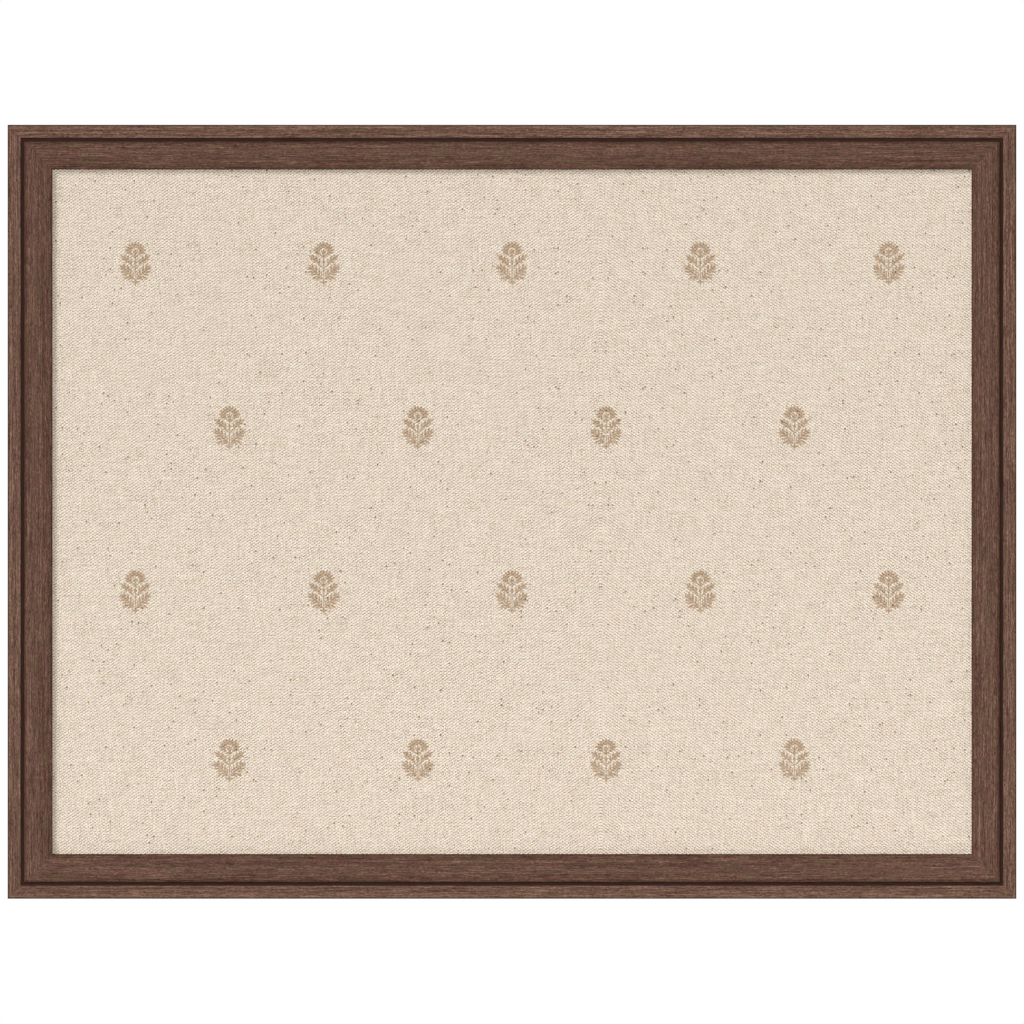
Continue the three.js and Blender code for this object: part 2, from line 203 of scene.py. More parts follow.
class Wire:
    """An output of a material's node. Operators on it add Math nodes."""

    def __init__(self, finish, socket):
        self.finish = finish
        self.socket = socket

    __add__ = maths("ADD")
    __radd__ = maths("ADD", swapped=True)
    __sub__ = maths("SUBTRACT")
    __rsub__ = maths("SUBTRACT", swapped=True)
    __mul__ = maths("MULTIPLY")
    __rmul__ = maths("MULTIPLY", swapped=True)
    __truediv__ = maths("DIVIDE")
    __pow__ = maths("POWER")
    __abs__ = maths("ABSOLUTE")
    __lt__ = maths("LESS_THAN")
    __gt__ = maths("GREATER_THAN")
    floor = maths("FLOOR")
    fraction = maths("FRACT")
    most = maths("MAXIMUM")
    least = maths("MINIMUM")
    arctan2 = maths("ARCTAN2")

    def fade(self, low, high, start=0, end=1):
        """Goes smoothly from start, at low, to end, at high."""
        return self.finish.node(
            "ShaderNodeMapRange",
            {"interpolation_type": "SMOOTHSTEP"},
            {"Value": self, "From Min": low, "From Max": high, "To Min": start, "To Max": end},
        )


class Finish:
    """A material being made. Constants go straight to the shader's own sockets."""

    def __init__(self, name, **constants):
        self.material = bpy.data.materials.new(name)
        self.material.use_nodes = True
        self.tree = self.material.node_tree
        self.shader = self.tree.nodes["Principled BSDF"]
        for socket, value in constants.items():
            self.shader.inputs[socket.replace("_", " ")].default_value = value

    def node(self, kind, settings=None, sockets=None, out=0):
        """Adds a node with its settings, then the values or links of its sockets. Gives one output."""
        made = self.tree.nodes.new(kind)
        for setting, value in (settings or {}).items():
            if setting == "stops":
                set_stops(made.color_ramp, value)
            else:
                setattr(made, setting, value)
        for key, value in (sockets or {}).items():
            self.feed(made.inputs[key], value)
        return Wire(self, made.outputs[out])

    def feed(self, socket, value):
        """Gives a socket a link or a value."""
        if isinstance(value, Wire):
            self.tree.links.new(value.socket, socket)
        else:
            socket.default_value = value

    def drive(self, socket, value):
        """Feeds one of the shader's sockets with what changes over the surface."""
        self.feed(self.shader.inputs[socket], value)

    def place(self):
        """A point's place in the board's own frame."""
        return self.node("ShaderNodeTexCoord", out="Object")

    def split(self, vector):
        """A vector's three parts, each as a wire."""
        node = self.node("ShaderNodeSeparateXYZ", sockets={0: vector}).socket.node
        return [Wire(self, output) for output in node.outputs]

    def vector(self, x, y, z):
        return self.node("ShaderNodeCombineXYZ", sockets={0: x, 1: y, 2: z})

    def scaled(self, vector, x, y, z, shift=(0, 0, 0)):
        """Stretches a vector, so that a pattern of size 1 repeats that many times in a metre."""
        sockets = {"Vector": vector, "Location": shift, "Scale": (x, y, z)}
        return self.node("ShaderNodeMapping", sockets=sockets)

    def noise(self, vector, detail=2, roughness=0.5):
        sockets = {"Vector": vector, "Scale": 1, "Detail": detail, "Roughness": roughness}
        return self.node("ShaderNodeTexNoise", sockets=sockets)

    def speck(self, x, y):
        """An even chance between 0 and 1 for each whole-numbered place."""
        settings = {"noise_dimensions": "2D"}
        sockets = {"Vector": self.vector(x, y, 0)}
        return self.node("ShaderNodeTexWhiteNoise", settings, sockets, out="Value")

    def ramp(self, value, *stops):
        return self.node("ShaderNodeValToRGB", {"stops": stops}, {0: value})

    def mix(self, share, first, second, blend="MIX"):
        settings = {"data_type": "RGBA", "blend_type": blend}
        return self.node("ShaderNodeMix", settings, {0: share, 6: first, 7: second}, out=2)

    def dot(self, vector, x, y, z):
        settings = {"operation": "DOT_PRODUCT"}
        return self.node("ShaderNodeVectorMath", settings, {0: vector, 1: (x, y, z)}, out="Value")

    def bump(self, height, depth, strength=1):
        """Feeds the normal with a relief whose height of 0 to 1 stands for the given depth."""
        sockets = {"Height": height, "Distance": depth, "Strength": strength}
        self.drive("Normal", self.node("ShaderNodeBump", sockets=sockets))


def set_stops(ramp, stops):
    """Gives a ramp its stops, each a position and a colour."""
    while len(ramp.elements) < len(stops):
        ramp.elements.new(1)
    for element, (position, colour) in zip(ramp.elements, stops):
        element.position = position
        element.color = colour


def paint(red, green, blue):
    """A colour given as the 0 to 255 values that a screen shows."""
    shares = [value / 255 for value in (red, green, blue)]
    return [s / 12.92 if s <= 0.04045 else ((s + 0.055) / 1.055) ** 2.4 for s in shares] + [1]


# Wood

# Fine dark lines that run the whole length of the moulding: inset, breadth and depth of tone
WOOD_LINES = (
    (3.8 * MM, 0.8 * MM, 0.05),
    (6.5 * MM, 1.1 * MM, 0.05),
    (15.6 * MM, 1.0 * MM, 0.05),
    (22.8 * MM, 1.0 * MM, 0.08),
    (26.4 * MM, 1.0 * MM, 0.04),
)

# Spans of inset in which each change of colour across the moulding begins or ends: the lip's lighter,
# streakier tone, painted highlights, painted shade, the groove's dark glaze and the bare rebate
LIP_END = (8.5 * MM, 8.7 * MM)
# A painted highlight on the lip, just inside its rounded outer arris
LIP_HIGHLIGHT_BEGINS = (0.6 * MM, 1.2 * MM)
LIP_HIGHLIGHT_ENDS = (2.2 * MM, 3.2 * MM)
# A painted highlight on the lip's inner edge, where it drops into the groove
GROOVE_EDGE_HIGHLIGHT_BEGINS = (7.1 * MM, 7.6 * MM)
GROOVE_EDGE_HIGHLIGHT_ENDS = (8.3 * MM, 8.6 * MM)
# Painted shade where the face falls towards the sight edge
FACE_SHADE_SPAN = (24.5 * MM, 28.5 * MM)
# Painted shade on the rounded outer arris
OUTER_ARRIS_SHADE_ENDS = (0.3 * MM, 1.1 * MM)
# A dark glaze in the groove, which is also painted shade of the recess and of the rise out of it
GROOVE_GLAZE_AND_SHADE_BEGINS = (8.25 * MM, 8.65 * MM)
GROOVE_GLAZE_AND_SHADE_THINS = (10.2 * MM, 11.2 * MM)
GROOVE_GLAZE_AND_SHADE_ENDS = (11.5 * MM, 13 * MM)
# Painted shade on the rounded sight arris
SIGHT_ARRIS_SHADE_BEGINS = (27.5 * MM, 28.7 * MM)
BARE_REBATE_BEGINS = (BACK_WIDTH - 0.55 * MM, BACK_WIDTH - 0.15 * MM)

# Spans of Y, from front to back, in which the painted shade on the outer corner thins and bare wood
# begins
CORNER_SHADE_THINS = (CROWN + 1.6 * MM, CROWN + 3.5 * MM)
BARE_SHELF_BEGINS = (CROWN + SHELF - 0.6 * MM, CROWN + SHELF - 0.1 * MM)
BARE_BACK_BEGINS = (BACK_FACE - 0.9 * MM, BACK_FACE - 0.2 * MM)


def walnut(name, along_x, shift):
    """Stained walnut with its grain along X or along Z, and bare wood on the back and in the rebate."""
    finish = Finish(name, Specular_IOR_Level=0.08)
    x, y, z = finish.split(finish.place())
    along, across = (x, z) if along_x else (z, x)
    inset = (HALF_HEIGHT if along_x else HALF_WIDTH) - abs(across)
    run = finish.vector(along, across, y)

    wander = finish.noise(finish.scaled(run, 9, 25, 25, shift), 2) - 0.5
    grained = finish.vector(along, across + wander * 0.002, y)
    bands = finish.noise(finish.scaled(grained, 5, 420, 420, shift), 2) - 0.5
    streaks = finish.noise(finish.scaled(grained, 32, 1500, 1500, shift), 1) - 0.5
    fibres = finish.noise(finish.scaled(grained, 150, 2700, 2700, (4, 2, 6)), 1) - 0.5
    dashes = finish.noise(finish.scaled(grained, 560, 2700, 2700, (1, 8, 5)), 1) - 0.5
    tint = finish.noise(finish.scaled(grained, 75, 700, 700, (7, 3, 1)), 2)

    lip = inset.fade(*LIP_END, 1, 0)
    # A painted highlight on the lip, just inside its outer arris
    lip_painted_highlight = inset.fade(*LIP_HIGHLIGHT_BEGINS, 0, 0.07) * inset.fade(*LIP_HIGHLIGHT_ENDS, 1, 0)
    # A painted highlight on the lip's inner edge by the groove
    groove_edge_painted_highlight = inset.fade(*GROOVE_EDGE_HIGHLIGHT_BEGINS, 0, 0.04) * inset.fade(*GROOVE_EDGE_HIGHLIGHT_ENDS, 1, 0)
    # Painted shade as the face falls towards the sight edge
    face_painted_shade = inset.fade(*FACE_SHADE_SPAN, 0, 0.09)
    lines = sum(
        (1 - abs(inset - middle) / breadth).most(0) * depth
        for middle, breadth, depth in WOOD_LINES
    )
    grain = bands * 0.4 + streaks * 0.76 + fibres * 1.05 + dashes * 1.25
    stained = finish.ramp(
        grain + lip * (streaks * 0.3 + 0.085) + lip_painted_highlight + groove_edge_painted_highlight - face_painted_shade - lines + 0.5,
        (0, paint(36, 21, 15)),
        (0.25, paint(65, 41, 31)),
        (0.5, paint(92, 63, 50)),
        (0.75, paint(121, 90, 75)),
        (1, paint(150, 119, 102)),
    )
    olive = finish.mix(tint.fade(0.5, 0.64) * 0.42, stained, paint(90, 75, 50))
    coloured = finish.mix(tint.fade(0.5, 0.34) * 0.27, olive, paint(104, 61, 58))

    pores = finish.noise(finish.scaled(grained, 75, 1900, 1900, (2, 9, 4)), 1).fade(0.67, 0.75)
    pored = finish.mix(pores * 0.6, coloured, paint(46, 31, 25))

    # Painted shade in dark brown on the rounded outer arris, thinning towards the back
    front_corner = y.fade(*CORNER_SHADE_THINS, 1, 0.2)
    outer_arris_painted_shade = inset.fade(*OUTER_ARRIS_SHADE_ENDS, 0.9, 0) * front_corner
    # Painted shade on the rounded sight arris, painted in the same dark brown as the outer arris
    sight_arris_painted_shade = inset.fade(*SIGHT_ARRIS_SHADE_BEGINS, 0, 0.42)
    edges_painted_shade = finish.mix((outer_arris_painted_shade + sight_arris_painted_shade).least(1), pored, paint(46, 25, 17))
    # A dark glaze in the groove, partly real glaze and partly painted shade of the recess and the rise
    groove_glaze_and_shade = inset.fade(*GROOVE_GLAZE_AND_SHADE_BEGINS) * inset.fade(*GROOVE_GLAZE_AND_SHADE_THINS, 1, 0.44)
    glazed_and_shaded = finish.mix(groove_glaze_and_shade * inset.fade(*GROOVE_GLAZE_AND_SHADE_ENDS, 0.95, 0), edges_painted_shade, paint(47, 19, 9))

    bare_back = y.fade(*BARE_BACK_BEGINS)
    bare_rebate = inset.fade(*BARE_REBATE_BEGINS) * y.fade(*BARE_SHELF_BEGINS)
    raw = finish.ramp(
        (streaks + fibres) * 0.6 + dashes * 0.4 + bands * 0.6 + 0.5,
        (0, paint(120, 92, 66)),
        (0.5, paint(176, 143, 108)),
        (1, paint(212, 184, 148)),
    )
    finish.drive("Base Color", finish.mix(bare_back.most(bare_rebate), glazed_and_shaded, raw))
    finish.drive("Roughness", 0.52 + pores * 0.25 + fibres * 0.25 + bare_back * 0.3)
    finish.bump((streaks + fibres) * 0.4 + dashes * 0.2 - pores * 0.6, 0.1 * MM)
    return finish.material


# Cloth: its weave is set out on the flat cloth's own coordinates, and so is the print

END_PITCH = 1.412 * MM
FLOAT_PITCH = 1.94 * MM
FLOAT_LEAN = 0.34
TWILL_TURN = 57.5 * MM
FLECK_PLACE = 0.72
FLECK_CHANCES = (0.983, 0.997)

# The print, in millimetres
SPRIG_PITCH = 122.3
SPRIG_ROW_PITCH = 106.65
SPRIG_TOP_ROW = 161.4
SPRIG_ROWS = 4
SPRIG_LAST_ROW_DROP = 2.7
SPRIG_REACH = 260

# A sprig's right half in millimetres from its middle. Each leaf has a foot, a tip and a half width.
SPRIG_LEAVES = (
    ((0.0, -3.8), (6.0, 2.4), 0.6),
    ((2.2, -0.6), (10.2, 5.8), 0.95),
    ((6.4, 2.8), (7.3, 6.0), 0.75),
    ((4.3, 0.9), (5.0, 5.0), 0.8),
    ((2.6, -0.8), (2.7, 3.4), 0.7),
    ((6.2, 2.6), (9.2, 2.6), 0.7),
    ((4.4, 1.0), (7.4, 0.6), 0.7),
    ((0.2, -10.9), (5.2, -5.6), 0.7),
    ((3.0, -8.0), (10.4, -0.6), 0.9),
    ((6.6, -4.6), (7.6, 0.2), 0.8),
    ((4.6, -6.6), (5.1, -0.8), 0.8),
    ((2.9, -8.2), (2.8, -2.6), 0.65),
    ((1.4, -9.4), (1.5, -5.0), 0.45),
    ((7.0, -4.2), (10.6, -2.9), 0.75),
    ((5.4, -5.8), (10.3, -5.4), 0.7),
    ((4.2, -7.0), (8.8, -7.6), 0.65),
    ((0.6, -10.0), (5.6, -8.3), 0.7),
    ((4.2, -8.4), (7.9, -10.6), 0.75),
    ((0.8, -10.4), (4.0, -9.6), 0.6),
    ((3.0, -9.6), (5.2, -11.2), 0.6),
    ((-0.2, -12.6), (2.8, -11.8), 0.6),
    ((0.0, -9.5), (0.0, -14.6), 0.7),
    ((0.0, 2.6), (0.0, -1.2), 0.9),
    ((0.0, 5.0), (0.0, -12.0), 0.4),
    ((0.0, 2.6), (0.0, 6.6), 0.8),
    ((-0.2, 3.8), (2.3, 5.4), 0.6),
    ((0.0, 5.0), (0.0, 9.6), 0.75),
    ((0.2, 5.4), (1.7, 8.9), 0.55),
)
FLOWER_RISE = 6.8
HEART_RISE = 7.7
HEART_RADIUS = 2.4
PETAL_TURN = math.radians(18.5)


def leaf(finish, point, foot, tip, half_width):
    """Above 0 inside a leaf: how deep a point lies in a lens drawn from the foot to the tip."""
    run = Vector(tip) - Vector(foot)
    middle = (Vector(tip) + Vector(foot)) / 2
    axis = run.normalized()
    reach = run.length / 2 / math.sqrt(half_width)
    lengthways = finish.dot(point, axis.x / reach, axis.y / reach, -axis.dot(middle) / reach)
    sideways = finish.dot(point, -axis.y, axis.x, axis.y * middle.x - axis.x * middle.y)
    return half_width - lengthways * lengthways - abs(sideways)


def sprig(finish, u, v):
    """Above 0 inside the printed sprigs, which stand in half-drop rows."""
    row_place = (SPRIG_TOP_ROW - v * 1000) / SPRIG_ROW_PITCH
    row = (row_place + 0.5).floor()
    up = (row - row_place) * SPRIG_ROW_PITCH + (row > SPRIG_ROWS - 1.5) * SPRIG_LAST_ROW_DROP
    odd = (row * 0.5).fraction()
    column_place = u * (1000 / SPRIG_PITCH) + odd
    column = (column_place + 0.5).floor()
    side = abs(column_place - column) * SPRIG_PITCH
    point = finish.vector(side, up, 1)
    leaves = leaf(finish, point, *SPRIG_LEAVES[0])
    for plan in SPRIG_LEAVES[1:]:
        leaves = leaves.most(leaf(finish, point, *plan))

    rise = up - FLOWER_RISE
    radius = (side * side + rise * rise) ** 0.5
    turn = side.arctan2(rise) / PETAL_TURN
    lobe = turn - (turn + 0.5).floor()
    rim = turn.fade(4, 7, 7.3, 3.2) - lobe * lobe * turn.fade(5.4, 6.6, 8.5, 3)
    petals = (rim - radius).least((6.5 - turn) * 2)
    above_heart = up - HEART_RISE
    clear = (side * side + above_heart * above_heart) ** 0.5 - HEART_RADIUS
    within_rows = abs(row - (SPRIG_ROWS - 1) / 2) < SPRIG_ROWS / 2
    shown = (abs(column - odd) * SPRIG_PITCH < SPRIG_REACH) * within_rows
    return leaves.most(petals.least(clear)) - (1 - shown) * 10


def twill_cloth():
    """Cream 2/1 twill with a reversal right of the middle, and tan sprigs printed on it."""
    finish = Finish("printed_twill", Roughness=0.92, Specular_IOR_Level=0.12, Sheen_Weight=0.05)
    flat = finish.node("ShaderNodeUVMap", {"uv_map": "flat_cloth"})
    u, v, _ = finish.split(flat)

    warp = abs(u - TWILL_TURN) / END_PITCH
    end = warp.floor()
    beside_end = warp - end - 0.5
    rise = v / FLOAT_PITCH + end * 0.5 + beside_end * (0.5 * FLOAT_LEAN)
    each = rise.floor()
    along_float = abs(rise - each - 0.5) * 2
    height = (1 - along_float * along_float).most(0) ** 0.5

    each_float = finish.speck(end, each + end * 7) - 0.5
    grit = finish.noise(finish.scaled(flat, 1700, 1700, 1), 0) - 0.5
    fuzz = finish.noise(finish.scaled(flat, 2400, 2400, 1), 1) - 0.5
    end_shade = finish.noise(finish.vector(u * 700, v * 60, 0), 1) - 0.5
    pick_shade = finish.noise(finish.vector(u * 60, v * 1000, 9), 1) - 0.5
    chance = finish.speck(end + 0.5, each + end * 7 + 0.5).fade(*FLECK_CHANCES)
    slub = (
        finish.noise(finish.scaled(flat, 170, 1300, 1, (3, 1, 0)), 1).fade(0.68, 0.76)
        .most(finish.noise(finish.scaled(flat, 1300, 170, 1, (1, 3, 0)), 1).fade(0.68, 0.76))
    )
    above_fleck = rise - each - FLECK_PLACE
    fleck = (above_fleck * above_fleck * 1.8 + beside_end * beside_end).fade(0.2, 0.1) * chance

    # The weave's relief is painted into the colour too: lightest on the floats' tops and darkest in the
    # gaps between floats, partly the yarn beneath and partly painted shade
    tone = (
        height * 0.84 + each_float * 0.1 + grit * 1.56 + fuzz * 0.3 - 0.082
        + end_shade * 0.24 + pick_shade * 0.34 - slub * 0.18
    )
    yarn_and_weave_shade = finish.ramp(
        tone,
        (0, paint(100, 84, 66)),
        (0.3, paint(182, 166, 144)),
        (0.6, paint(228, 214, 196)),
        (1, paint(255, 248, 238)),
    )
    warmth = finish.noise(finish.scaled(flat, 270, 270, 1), 1)
    blush = finish.noise(finish.scaled(flat, 270, 270, 1, (5, 5, 0)), 1)
    tinted = finish.mix(warmth.fade(0.35, 0.65), yarn_and_weave_shade, paint(255, 255, 249), "MULTIPLY")
    tinted = finish.mix(blush.fade(0.3, 0.7), tinted, paint(255, 249, 251), "MULTIPLY")
    tinted = finish.mix(slub * 0.5, tinted, paint(255, 240, 214), "MULTIPLY")
    tinted = finish.mix(fleck * 0.95, tinted, paint(106, 83, 58))
    ink = (sprig(finish, u, v) + (height - 0.85) * 0.6).fade(-0.2, 0.2)
    finish.drive("Base Color", finish.mix(ink, tinted, paint(207, 191, 174), "MULTIPLY"))
    finish.bump(height * (1 - beside_end * beside_end * 3), 0.18 * MM, 0.5)
    return finish.material


# Other finishes

def zinc_steel():
    """Zinc-plated steel with a faint bluish mottle and fine rubbing."""
    finish = Finish("zinc_plate", Metallic=1.0)
    place = finish.place()
    cloud = finish.noise(finish.scaled(place, 260, 260, 260), 3, 0.6)
    rub = finish.noise(finish.scaled(place, 3000, 400, 700), 2)
    colour = finish.ramp(cloud, (0.25, paint(172, 176, 182)), (0.75, paint(214, 214, 210)))
    finish.drive("Base Color", colour)
    finish.drive("Roughness", 0.28 + cloud * 0.12 + rub * 0.12)
    finish.bump(cloud * 0.6 + rub * 0.4, 0.02 * MM)
    return finish.material


def bright_steel():
    """Plain rolled steel, with rolling lines and a little dulling."""
    finish = Finish("rolled_steel", Metallic=1.0)
    place = finish.place()
    lines = finish.noise(finish.scaled(place, 300, 4000, 300), 2)
    dull = finish.noise(finish.scaled(place, 400, 400, 400), 3)
    colour = finish.ramp(dull, (0.3, paint(120, 118, 116)), (0.7, paint(172, 172, 172)))
    finish.drive("Base Color", colour)
    finish.drive("Roughness", 0.3 + lines * 0.2 + dull * 0.15)
    finish.bump(lines, 0.015 * MM)
    return finish.material


def hardboard():
    """Pressed brown fibreboard."""
    finish = Finish("pressed_fibre", Specular_IOR_Level=0.3)
    place = finish.place()
    fibre = finish.noise(finish.scaled(place, 900, 300, 2400), 4, 0.7)
    cross = finish.noise(finish.scaled(place, 2400, 300, 900, (5, 5, 5)), 4, 0.7)
    cloud = finish.noise(finish.scaled(place, 150, 150, 150), 5, 0.65)
    tone = fibre * 0.6 + cross * 0.6 - 0.1 + (cloud - 0.5) * 0.2
    colour = finish.ramp(
        tone,
        (0.3, paint(70, 47, 32)),
        (0.5, paint(112, 79, 55)),
        (0.7, paint(150, 114, 82)),
    )
    finish.drive("Base Color", colour)
    finish.drive("Roughness", 0.6 + fibre * 0.3)
    finish.bump(fibre * 0.5 + cross * 0.5, 0.1 * MM)
    return finish.material


def cork():
    """Pressed cork granules with dark bark flecks, and painted shade in the gaps between the granules.
    """
    finish = Finish("pressed_cork", Specular_IOR_Level=0.25, Roughness=0.85)
    place = finish.place()
    cells = {"Vector": finish.scaled(place, 420, 420, 420), "Scale": 1}
    tone = finish.dot(finish.node("ShaderNodeTexVoronoi", sockets=cells, out="Color"), 0.33, 0.33, 0.33)
    edge = finish.node("ShaderNodeTexVoronoi", {"feature": "DISTANCE_TO_EDGE"}, cells)
    grain = finish.noise(finish.scaled(place, 1600, 1600, 1600), 3, 0.7)
    colour = finish.ramp(
        tone * 0.7 + grain * 0.3,
        (0.3, paint(104, 68, 40)),
        (0.42, paint(166, 121, 76)),
        (0.7, paint(206, 164, 115)),
    )
    # Painted shade in the gaps between the granules
    finish.drive("Base Color", finish.mix(edge.fade(0, 0.06, 0.5, 0), colour, paint(88, 58, 34)))
    finish.bump(edge.fade(0, 0.1) * 0.6 + grain * 0.4, 0.2 * MM)
    return finish.material


def rubber():
    """Soft dark rubber with a fine moulded texture and dust."""
    finish = Finish("soft_rubber", Specular_IOR_Level=0.35)
    place = finish.place()
    grain = finish.noise(finish.scaled(place, 3500, 3500, 3500), 2)
    dust = finish.noise(finish.scaled(place, 500, 500, 500), 4, 0.7)
    colour = finish.ramp(dust, (0.4, paint(40, 39, 38)), (0.75, paint(70, 68, 65)))
    finish.drive("Base Color", colour)
    finish.drive("Roughness", 0.62 + dust * 0.25)
    finish.bump(grain, 0.05 * MM)
    return finish.material


# Building with bmesh

def only(kind, geometry):
    """The vertices, edges or faces among what an operator made."""
    return [item for item in geometry if isinstance(item, kind)]


def bezier(start, first_handle, second_handle, end):
    """Points along a curve, without its start."""
    ends = [Vector(point) for point in (start, first_handle, second_handle, end)]
    return [tuple(point) for point in interpolate_bezier(*ends, CURVE_STEPS + 1)[1:]]


def conic(start, corner, end):
    """Points along a curve whose end tangents meet at a corner, without its start."""
    first, middle, last = (Vector(point) for point in (start, corner, end))
    return bezier(start, first.lerp(middle, 2 / 3), last.lerp(middle, 2 / 3), end)


def plate(points, rounding=(), steps=4):
    """A flat face with some of its corners rounded: rounding holds pairs of a corner and a radius."""
    shape = bmesh.new()
    corners = [shape.verts.new(point) for point in points]
    shape.faces.new(corners)
    for number, radius in rounding:
        bmesh.ops.bevel(
            shape, geom=[corners[number]], offset=radius, offset_type="OFFSET", segments=steps,
            profile=0.5, affect="VERTICES", material=-1,
        )
    return shape


def rounded(shape, width):
    """Rounds all of a shape's edges."""
    bmesh.ops.bevel(
        shape, geom=shape.edges[:], offset=width, segments=3, profile=0.5, affect="EDGES", material=-1,
    )
    return shape


def thicken(shape, step):
    """Draws flat faces out into a closed solid."""
    made = bmesh.ops.extrude_face_region(shape, geom=shape.faces[:])["geom"]
    bmesh.ops.translate(shape, verts=only(bmesh.types.BMVert, made), vec=step)
    return shape


def draw_on(shape, edges, step):
    """Carries edges on in a straight line, and gives the new ones."""
    made = bmesh.ops.extrude_edge_only(shape, edges=edges)["geom"]
    bmesh.ops.translate(shape, verts=only(bmesh.types.BMVert, made), vec=step)
    return only(bmesh.types.BMEdge, made)


def bend_on(shape, edges, centre, axis, angle, steps):
    """Carries edges on round a bend, and gives the new ones."""
    turned = bmesh.ops.spin(shape, geom=edges, cent=centre, axis=axis, angle=angle, steps=steps)
    return only(bmesh.types.BMEdge, turned["geom_last"])


def sliced(shape, place, normal, clear_outer=False):
    """Cuts a shape along a plane, and gives the edges of the cut."""
    cut = bmesh.ops.bisect_plane(
        shape, geom=shape.verts[:] + shape.edges[:] + shape.faces[:], plane_co=place, plane_no=normal,
        clear_outer=clear_outer,
    )
    return only(bmesh.types.BMEdge, cut["geom_cut"])


def outward(shape):
    """Merges doubles and turns the faces of a closed solid outwards."""
    bmesh.ops.remove_doubles(shape, verts=shape.verts, dist=0.001 * MM)
    bmesh.ops.recalc_face_normals(shape, faces=shape.faces)
    return shape


def placed(shape, matrix):
    bmesh.ops.transform(shape, matrix=matrix, verts=shape.verts)
    return shape


def as_mesh(name, shape):
    """A mesh with a bmesh's geometry. The bmesh is used up."""
    mesh = bpy.data.meshes.new(name)
    shape.to_mesh(mesh)
    shape.free()
    return mesh


def in_scene(name, data):
    """A new object in the scene."""
    made = bpy.data.objects.new(name, data)
    bpy.context.scene.collection.objects.link(made)
    return made


def joined(shapes):
    """One bmesh with the geometry of all of them."""
    whole = bmesh.new()
    for shape in shapes:
        mesh = as_mesh("part", shape)
        whole.from_mesh(mesh)
        bpy.data.meshes.remove(mesh)
    return whole


def carved(shape, tool, operation="DIFFERENCE"):
    """Cuts one closed solid by another, or keeps what they share."""
    solids = [in_scene("solid", as_mesh("solid", solid)) for solid in (shape, tool)]
    boolean = solids[0].modifiers.new("cut", "BOOLEAN")
    boolean.operation = operation
    boolean.solver = "EXACT"
    boolean.object = solids[1]
    result = bmesh.new()
    result.from_object(solids[0], bpy.context.evaluated_depsgraph_get())
    for solid in solids:
        bpy.data.meshes.remove(solid.data)
    return result


def cylinder(radius, low, high):
    """A solid round bar along Y."""
    shape = bmesh.new()
    bmesh.ops.create_circle(shape, cap_ends=True, segments=24, radius=radius)
    placed(shape, Matrix.Translation((0, low, 0)) @ Matrix.Rotation(QUARTER, 4, "X"))
    return outward(thicken(shape, (0, high - low, 0)))


def cuboid(centre, size):
    """A square-edged block."""
    shape = bmesh.new()
    bmesh.ops.create_cube(shape, size=1)
    return placed(shape, Matrix.Translation(centre) @ Matrix.Diagonal((*size, 1)))


def spun(profile, segments=32):
    """A solid of revolution about Y, from pairs of radius and height."""
    shape = bmesh.new()
    corners = [shape.verts.new((radius, height, 0)) for radius, height in profile]
    for first, second in zip(corners, corners[1:]):
        shape.edges.new((first, second))
    bmesh.ops.spin(
        shape, geom=shape.verts[:] + shape.edges[:], cent=(0, 0, 0), axis=(0, 1, 0),
        angle=2 * math.pi, steps=segments, use_merge=True,
    )
    return outward(shape)


def soften(piece, width, angle=40):
    """Rounds a piece's sharp edges."""
    bevel = piece.modifiers.new("soft_edges", "BEVEL")
    bevel.width = width
    bevel.segments = 2
    bevel.limit_method = "ANGLE"
    bevel.angle_limit = math.radians(angle)


def finished(name, shape, material, body, replaces=(), crease=32):
    """Turns a bmesh into a piece that rides on a body."""
    mesh = as_mesh(name, shape)
    mesh.shade_smooth()
    mesh.set_sharp_from_angle(angle=math.radians(crease))
    mesh.materials.append(material)
    piece = in_scene(name, mesh)
    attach(piece, body)
    if replaces:
        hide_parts(*replaces)
    return piece


# The frame's four lengths

def evenly(end, count):
    """Places at equal steps, from one end to as far on the other side of the middle."""
    return [end - 2 * end * number / (count - 1) for number in range(count)]


def moulding_section():
    """The outline as pairs: inwards from the outer edge, and forward from the back."""
    depth = BACK_FACE - CROWN
    lip = depth - LIP_STEP
    floor = lip - GROOVE_DEPTH
    rise = LIP_WIDTH + GROOVE_FLOOR
    foot = rise + RISE_FOOT
    shoulder = rise + RISE_WIDTH
    shoulder_top = depth - SHOULDER_DROP
    arris = MOULDING_WIDTH - SIGHT_ARRIS_WIDTH
    arris_top = depth - FACE_FALL
    sight_edge = arris_top - SIGHT_ARRIS_DROP
    crown = shoulder + CROWN_SHARE * (arris - shoulder)
    slope = 2 * SHOULDER_DROP / (crown - shoulder)
    brow = shoulder_top - slope * (RISE_WIDTH - RISE_FOOT)
    return [
        (0, 0),
        (0, lip),
        (LIP_WIDTH, lip),
        (LIP_WIDTH, floor),
        (rise, floor),
        *bezier((rise, floor), (foot, floor), (foot, brow), (shoulder, shoulder_top)),
        *conic((shoulder, shoulder_top), ((shoulder + crown) / 2, depth), (crown, depth)),
        *conic((crown, depth), ((crown + arris) / 2, depth), (arris, arris_top)),
        *conic((arris, arris_top), (MOULDING_WIDTH, arris_top), (MOULDING_WIDTH, sight_edge)),
        (MOULDING_WIDTH, depth - SHELF),
        (BACK_WIDTH, depth - SHELF),
        (BACK_WIDTH, 0),
    ]


